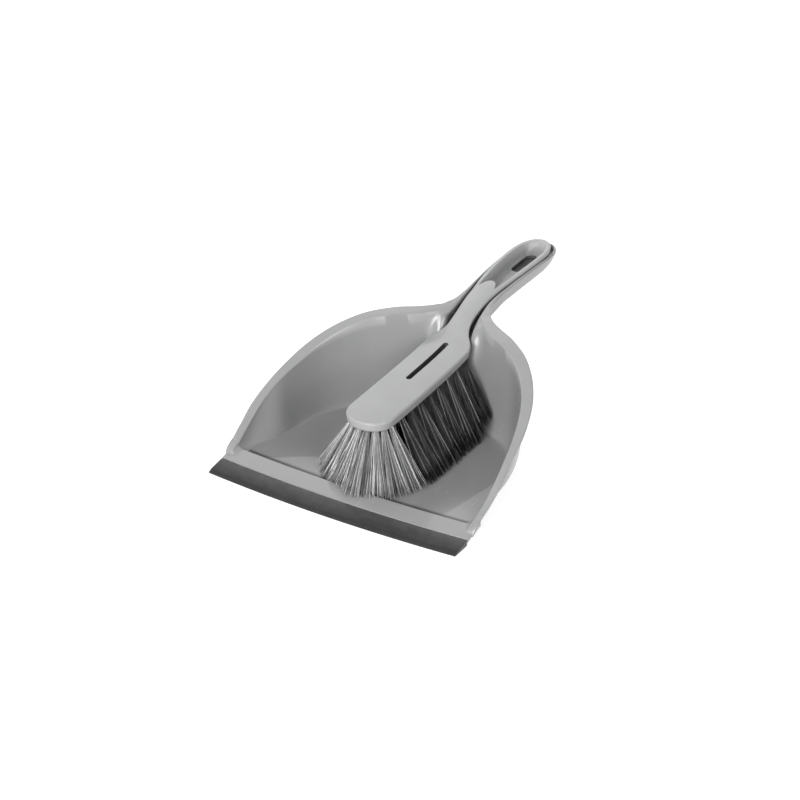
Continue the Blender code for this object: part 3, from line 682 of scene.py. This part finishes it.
def stock_loops():
    """Closed cross-sections of the stock that fan round its nose and its tip."""
    outline = outline_samples()
    tangent = np.gradient(outline, axis=0)
    tangent[0], tangent[-1] = (1.0, 0.0), (-1.0, 0.0)
    tangent /= np.linalg.norm(tangent, axis=1, keepdims=True)
    inward = np.stack([-tangent[:, 1], tangent[:, 0]], axis=1)
    loops = []
    for (x, y), n in zip(outline, inward):
        handle = blend(y, HANDLE_BLEND)
        side = (1 - handle) * HEAD_SIDE + handle * HANDLE_SIDE
        spine = np.array([0.0, min(max(y, NOSE_FAN), TIP_FAN)])
        inner = np.array([max(x + n[0] * RIM_WIDTH, 0.0), y + n[1] * RIM_WIDTH])
        top = spine + (inner - spine) * TOP_SHARES[:, None]
        reach = np.linalg.norm(inner - spine) + RIM_WIDTH
        crown = CROWN * (1.0 - blend(y, CROWN_END)) * min(reach / CROWN_REACH, 1.0)
        height = edge_height(top[:, 1]) - hollow_drop(TOP_SHARES, top[:, 1])
        height += crown * (1 - (TOP_SHARES * (reach - RIM_WIDTH) / reach) ** 2)
        right = [np.column_stack([top, height])]
        above = np.arange(len(side)) < np.argmin(side[:, 0])
        rim_crown = crown * (1 - ((reach - side[:, 0]) / reach) ** 2) * above
        drop = side[:, 1] * (1 + HANDLE_DEEPER * blend(y, DEEPER_BLEND))
        edge = np.array([x, y]) + n * side[:, :1]
        edge[:, 0] = np.maximum(edge[:, 0], 0.0)
        right.append(np.column_stack([edge, edge_height(edge[:, 1]) + rim_crown - drop]))
        low = edge[-1] + (spine - edge[-1]) * np.array([[0.33], [0.66], [1.0]])
        right.append(np.column_stack([low, edge_height(low[:, 1]) - drop[-1]]))
        loops.append(mirrored(np.concatenate(right)))
    return loops


def underside(y):
    """Height of the head's underside."""
    return float(edge_height(np.array(y))) - HEAD_THICK


# Cutters: lowest and highest Z of two of them; sides of a tuft hole, and how far its cutter
# stands out of the hole.
SLOT_CUT, HANG_CUT = (40.0, 80.0), (75.0, 110.0)
HOLE_SIDES, HOLE_OVERSHOOT = 20, 4.0


def stock_cutter(roots):
    """Slot, hanging hole and tuft holes as one cutter mesh."""
    verts, faces = [], []

    def take(outline, low, high):
        rings = [world([(x, y, z) for x, y in outline]) for z in (low, high)]
        solid_verts, solid_faces = prism(rings)
        faces.extend(tuple(i + len(verts) for i in face) for face in solid_faces)
        verts.extend(solid_verts)

    take(stadium(SLOT_FROM, SLOT_TO, SLOT_WIDTH), *SLOT_CUT)
    take(stadium(HANG_FROM, HANG_TO, HANG_WIDTH), *HANG_CUT)
    for x, y in roots:
        mouth = underside(y)
        ring = [(x + HOLE_RADIUS * math.cos(a), y + HOLE_RADIUS * math.sin(a))
                for a in np.linspace(0.1, 2 * math.pi + 0.1, HOLE_SIDES + 1)[:-1]]
        take(ring, mouth - HOLE_OVERSHOOT, mouth + HOLE_DEPTH)
    mesh = bpy.data.meshes.new("stock_cutter")
    mesh.from_pydata([tuple(v) for v in verts], [], faces)
    work = bmesh.new()
    work.from_mesh(mesh)
    bmesh.ops.recalc_face_normals(work, faces=work.faces)
    work.to_mesh(mesh)
    work.free()
    obj = bpy.data.objects.new("stock_cutter", mesh)
    bpy.context.scene.collection.objects.link(obj)
    return obj


# Openings whose walls get painted shade: front, back, width, strength; and the strength of the
# painted shade in the hollow.
SLOT_SHADE = (SLOT_FROM, SLOT_TO, SLOT_WIDTH, 1.0)
HANG_SHADE = (HANG_FROM, HANG_TO, HANG_WIDTH, 0.9)
HOLLOW_SHADE = 0.35
STOCK_SHARP = 38.0


def paint_stock_shade(mesh):
    """Painted shade inside the slot and the hanging hole, and fainter painted shade deeper in the
    hollow.
    """
    near, facing_up = 0.1, 0.1
    corners = []
    for face in mesh.polygons:
        x, y, z = face.center.x / MM, face.center.y / MM + Y_MID, face.center.z / MM
        mark = 0.0
        if face.normal.z > facing_up and TONGUE_SIDE < y < STOCK_TIP:
            mark = HOLLOW_SHADE * float(smooth((float(edge_height(y)) - z) / HOLLOW_DEPTH))
        for front, back, width, strength in (SLOT_SHADE, HANG_SHADE):
            inside = abs(x) < width / 2 + near and front - near < y < back + near
            if inside and abs(face.normal.z) < 0.5:
                mark = strength
        corners += [mark] * face.loop_total
    mesh.attributes.new("painted_shade_mask", "FLOAT", "CORNER").data.foreach_set("value", corners)


def build_stock(mat, roots):
    """Head, neck and hollow handle in one moulding, with its holes cut."""
    loops = stock_loops()
    faces = loop_faces(len(loops), len(loops[0]))
    stock = piece("brush_back", world(np.concatenate(loops)), faces, mat, "brush",
                  ["brush_stock"], sharp=STOCK_SHARP, weld=2e-5)
    cutter = stock_cutter(roots)
    cut = stock.modifiers.new("holes", "BOOLEAN")
    cut.operation, cut.solver, cut.object = "DIFFERENCE", "EXACT", cutter
    bpy.context.view_layer.update()
    depsgraph = bpy.context.evaluated_depsgraph_get()
    mesh = bpy.data.meshes.new_from_object(stock.evaluated_get(depsgraph))
    stock.modifiers.clear()
    stock.data = mesh
    mesh.shade_smooth()
    mesh.set_sharp_from_angle(angle=math.radians(STOCK_SHARP))
    paint_stock_shade(mesh)
    bpy.data.objects.remove(cutter, do_unlink=True)
    return stock


# ---- bristle ------------------------------------------------------------------------------------
ARC_TUFTS, SIDE_TUFTS = 8, 8
# Middle tufts: Y, colour, and how far they lean forward.
CENTRE_TUFTS = (
    (62.0, "light", 3.0), (77.0, "light", 3.0), (90.0, "dark", 2.0), (103.0, "dark", 2.0),
)
TUFT_RING = 14.9
SIDE_FROM, SIDE_TO = 77.0, 169.0
LIGHT_STRANDS, DARK_STRANDS = 120, 130
# Half spreads of the tips, along and across the row of tufts.
ARC_SPREAD, SIDE_SPREAD, CENTRE_SPREAD = (9.0, 6.0), (7.6, 6.0), (6.5, 7.0)
# Front tufts stand on an arc, in degrees either side of straight ahead. Their tips reach less far
# left of ARC_SHORT, fading in over ARC_SHORT_FADE, and as far again left of ARC_LONG.
ARC_HALF, ARC_REACH, ARC_EXTRA, ARC_FORWARD = 82.0, 25.0, 6.0, 1.0
ARC_SHORT, ARC_SHORT_FADE, ARC_LONG, ARC_LONG_FADE = 10.0, 30.0, -50.0, 25.0
# Side tufts lean out less towards the back, and the last ones lean forward.
SIDE_REACH, SIDE_REACH_LOSS = 27.5, 2.5
SIDE_FORWARD, LAST_FORWARD, LAST_POWER = 2.0, 6.5, 4
# Heights that the tips follow: front of the band, its rise, slope of the lip, front of the floor.
BAND_Z, BAND_RISE, LIP_SLOPE, FLOOR_RISE, FLOOR_FADE = 4.8, 3.2, 0.18, 2.75, 68.0
# Strands: radius of the bundle at the hole's mouth, depth in the hole, places along the strand,
# and its thinnest and thickest radius.
BUNDLE, STRAND_DEPTH = 1.8, 4.6
STRAND_SHARES = (0.14, 0.34, 0.56, 0.78, 1.0)
STRAND_RADII = (0.19, 0.27)
STRAND_TIP = 0.7                 # share of the radius that is left at the tip
STRAND_SWAY, TIP_SCATTER = 0.35, (0.12, 0.08)
FAN_POWER = 1.04                 # over 1 a strand bends outwards towards its tip
STRAND_TURN = (0.31, 0.87, 0.38)  # a direction that no strand runs along
TIP_GAPS = (0.4, 2.4)            # lowest and highest gap between a strand's tip and the pan
# The last tufts of the sides are shorter: Y where that starts, over what length, how much.
SHORT_FROM, SHORT_OVER, SHORTER = 146.0, 14.0, 12.0


def pan_top(x, y):
    """Height of the pan's inside surface near the middle of the tray."""
    y = y + float(bow(x, y))
    if y < BAND_FRONT:
        return BAND_Z - LIP_SLOPE * (BAND_FRONT - y)
    if y < BAND_BACK:
        return BAND_Z + BAND_RISE * (y - BAND_FRONT) / (BAND_BACK - BAND_FRONT)
    return FLOOR_Z + FLOOR_RISE * float(smooth((FLOOR_LEVEL_FROM + 4 - y) / FLOOR_FADE))


def tuft_layout():
    """Name, colour, root, lean, half spreads and heading of every tuft."""
    tufts = []

    def add(colour, *layout):
        number = 1 + sum(tuft[1] == colour for tuft in tufts)
        tufts.append((f"{colour}_{number:02d}", colour, *layout))

    for k in range(ARC_TUFTS):
        degrees = -ARC_HALF + 2 * ARC_HALF * k / (ARC_TUFTS - 1)
        angle = math.radians(degrees)
        root = (TUFT_RING * math.sin(angle), HEAD_CENTRE + 1.0 - TUFT_RING * math.cos(angle))
        reach = ARC_REACH - ARC_EXTRA * float(smooth((ARC_SHORT - degrees) / ARC_SHORT_FADE))
        reach += ARC_EXTRA * float(smooth((ARC_LONG - degrees) / ARC_LONG_FADE))
        lean = (reach * math.sin(angle), -reach * math.cos(angle) - ARC_FORWARD)
        add("light", root, lean, ARC_SPREAD, angle)
    for k in range(SIDE_TUFTS):
        run = k / (SIDE_TUFTS - 1)
        for sign in (-1, 1):
            root = (sign * TUFT_RING, SIDE_FROM + (SIDE_TO - SIDE_FROM) * run)
            forward = SIDE_FORWARD + LAST_FORWARD * run ** LAST_POWER
            lean = (sign * (SIDE_REACH - SIDE_REACH_LOSS * run), -forward)
            add("dark", root, lean, SIDE_SPREAD, sign * math.pi / 2)
    for y, colour, forward in CENTRE_TUFTS:
        add(colour, (0.0, y), (0.0, -forward), CENTRE_SPREAD, 0.0)
    return tufts


def strand(path, radius, verts, faces):
    """Thin three-sided tube along a path, closed at both ends and thinner at its tip."""
    first = len(verts)
    for i, point in enumerate(path):
        ahead = path[min(i + 1, len(path) - 1)] - path[max(i - 1, 0)]
        side = np.cross(ahead, STRAND_TURN)
        side /= np.linalg.norm(side)
        other = np.cross(ahead / np.linalg.norm(ahead), side)
        size = radius * (STRAND_TIP if i == len(path) - 1 else 1.0)
        for k in range(3):
            turn = 2 * math.pi * k / 3
            verts.append(point + size * (math.cos(turn) * side + math.sin(turn) * other))
    for i in range(len(path) - 1):
        for k in range(3):
            a, b = first + 3 * i + k, first + 3 * i + (k + 1) % 3
            faces.append((a, b, b + 3, a + 3))
    last = first + 3 * (len(path) - 1)
    faces.append((first + 2, first + 1, first))
    faces.append((last, last + 1, last + 2))


def build_tuft(name, colour, root, lean, spreads, heading, mats):
    """Loose strands that leave one hole and fan out to the tray floor."""
    rng = random.Random(name)
    mouth = underside(root[1])
    along, across = spreads
    outward = np.array([math.sin(heading), -math.cos(heading)])
    sideways = np.array([math.cos(heading), math.sin(heading)])
    verts, faces = [], []
    for _ in range(LIGHT_STRANDS if colour == "light" else DARK_STRANDS):
        u, v = rng.uniform(-1.0, 1.0), rng.uniform(-1.0, 1.0)
        disc = BUNDLE / max(1.0, math.hypot(u, v))
        start = np.array(root) + disc * (u * sideways + v * outward)
        u += rng.gauss(0.0, TIP_SCATTER[0])
        v += rng.gauss(0.0, TIP_SCATTER[1])
        tip = np.array(root) + np.array(lean) + u * along * sideways + v * across * outward
        low = pan_top(*tip) + rng.uniform(*TIP_GAPS)
        low += SHORTER * float(smooth((tip[1] - SHORT_FROM) / SHORT_OVER))
        leave = np.array([*start, mouth])
        end = np.array([*tip, low])
        sway = np.array([rng.gauss(0.0, STRAND_SWAY), rng.gauss(0.0, STRAND_SWAY), 0.0])
        path = [np.array([*start, mouth + STRAND_DEPTH]), leave]
        for t in STRAND_SHARES:
            spread = t ** FAN_POWER
            run = (end - leave) * np.array([spread, spread, t])
            path.append(leave + run + sway * math.sin(math.pi * t))
        strand(path, rng.uniform(*STRAND_RADII), verts, faces)
    return piece(f"bristle_{name}", world(verts), faces, mats[colour], "brush",
                 [f"tuft_{name}"], sharp=180.0, weld=1e-9)


# ---- scene --------------------------------------------------------------------------------------
# Metres: half width of the scene's floor, and the gap between it and the pan.
FLOOR_SIZE, FLOOR_GAP = 6.0, 0.0002


def build_floor():
    """Plain pale floor that glows a little, so that shadows stay faint."""
    n = Nodes("floor")
    speck = n.noise(9.0, 2.0)
    n.drive("Base Color", n.ramp(speck, ((0.3, 0.34), (0.7, 0.36))))
    n.fixed(Roughness=0.9, Emission_Color=(1.0, 1.0, 1.0, 1.0), Emission_Strength=0.76)
    mesh = bpy.data.meshes.new("floor")
    corners = [(x * FLOOR_SIZE, y * FLOOR_SIZE, 0) for x, y in ((-1, -1), (1, -1), (1, 1), (-1, 1))]
    mesh.from_pydata(corners, [], [(0, 1, 2, 3)])
    mesh.materials.append(n.mat)
    floor = bpy.data.objects.new("floor", mesh)
    floor.location.z = -FLOOR_GAP
    bpy.context.scene.collection.objects.link(floor)


# Soft parts of the surroundings: direction, half angle in degrees, brightness at the middle.
GLOWS = (
    ((0.0, -0.977, 0.211), 26.0, 8.8),
    ((0.804, -0.375, 0.461), 26.0, 5.9),
    ((0.0, -0.775, 0.632), 26.0, 6.4),
    ((-0.911, -0.171, 0.376), 26.0, 1.2),
    ((-0.470, 0.752, 0.463), 36.0, 0.9),
)
SURROUNDINGS = 0.38              # brightness away from the glows
KEY_PLACE, KEY_TARGET = Vector((-0.87, 0.87, 0.90)), Vector((0.0, 0.0, 0.04))
KEY_SIZE, KEY_POWER = 0.04, 20.0


def build_lights():
    """White surroundings with soft glows, and one small key light high up at the back left."""
    surroundings = bpy.data.worlds.new("surroundings")
    surroundings.use_nodes = True
    tree = surroundings.node_tree
    coord = tree.nodes.new("ShaderNodeTexCoord")
    total = None
    for direction, half_angle, brightness in GLOWS:
        dot = tree.nodes.new("ShaderNodeVectorMath")
        dot.operation = "DOT_PRODUCT"
        dot.inputs[1].default_value = direction
        tree.links.new(coord.outputs["Generated"], dot.inputs[0])
        glow = tree.nodes.new("ShaderNodeMapRange")
        glow.interpolation_type = "SMOOTHSTEP"
        glow.inputs["From Min"].default_value = math.cos(math.radians(half_angle))
        glow.inputs["To Max"].default_value = brightness
        tree.links.new(dot.outputs["Value"], glow.inputs["Value"])
        add = tree.nodes.new("ShaderNodeMath")
        add.inputs[0].default_value = SURROUNDINGS
        if total is not None:
            tree.links.new(total, add.inputs[0])
        tree.links.new(glow.outputs["Result"], add.inputs[1])
        total = add.outputs["Value"]
    tree.links.new(total, tree.nodes["Background"].inputs["Strength"])
    tree.nodes["Background"].inputs["Color"].default_value = (1.0, 1.0, 1.0, 1.0)
    bpy.context.scene.world = surroundings
    light = bpy.data.lights.new("key_light", "AREA")
    light.shape, light.size, light.energy = "DISK", KEY_SIZE, KEY_POWER
    lamp = bpy.data.objects.new("key_light", light)
    lamp.visible_glossy = False
    lamp.location = KEY_PLACE
    lamp.rotation_euler = (KEY_TARGET - KEY_PLACE).to_track_quat("-Z", "Y").to_euler()
    bpy.context.scene.collection.objects.link(lamp)


# Camera: turn from straight in front and height above the floor in degrees, distance to the
# target and the target in metres, sensor and focal length in millimetres.
CAMERA_TURN, CAMERA_HEIGHT, CAMERA_DISTANCE = 32.07, 29.0, 1.649
CAMERA_TARGET = Vector((-0.0464, 0.0091, 0.0))
CAMERA_SENSOR, CAMERA_LENS = 36.0, 91.456


def build_camera():
    """Camera to the right of the lip's front, looking down at the pan."""
    turn, height = math.radians(CAMERA_TURN), math.radians(CAMERA_HEIGHT)
    level = math.cos(height)
    back = Vector((math.sin(turn) * level, -math.cos(turn) * level, math.sin(height)))
    right = Vector((math.cos(turn), math.sin(turn), 0.0))
    pose = Matrix((right, back.cross(right), back)).transposed().to_4x4()
    pose.translation = CAMERA_TARGET + back * CAMERA_DISTANCE
    camera = bpy.data.objects.new("camera", bpy.data.cameras.new("camera"))
    camera.matrix_world = pose
    camera.data.sensor_width = CAMERA_SENSOR
    camera.data.lens = CAMERA_LENS
    camera.data.clip_end = 50.0
    bpy.context.scene.collection.objects.link(camera)
    bpy.context.scene.camera = camera


def main():
    """Build every piece, then the floor, the lights and the camera."""
    steel = steel_material()
    for name, node in frame["nodes"].items():
        if name.startswith("anchor_"):
            for slot in node.material_slots:
                slot.material = steel
    build_pan(pan_material())
    build_lip(rubber_material())
    tufts = tuft_layout()
    build_stock(stock_material(), [tuft[2] for tuft in tufts])
    mats = {
        "light": bristle_material("light_bristle_fine", LIGHT_SHADES, 0.44, 0.05),
        "dark": bristle_material("dark_bristle_fine", DARK_SHADES, 0.42, 0.0),
    }
    for tuft in tufts:
        build_tuft(*tuft, mats)
    build_floor()
    build_lights()
    build_camera()
    bpy.context.scene.view_settings.view_transform = "Standard"


main()
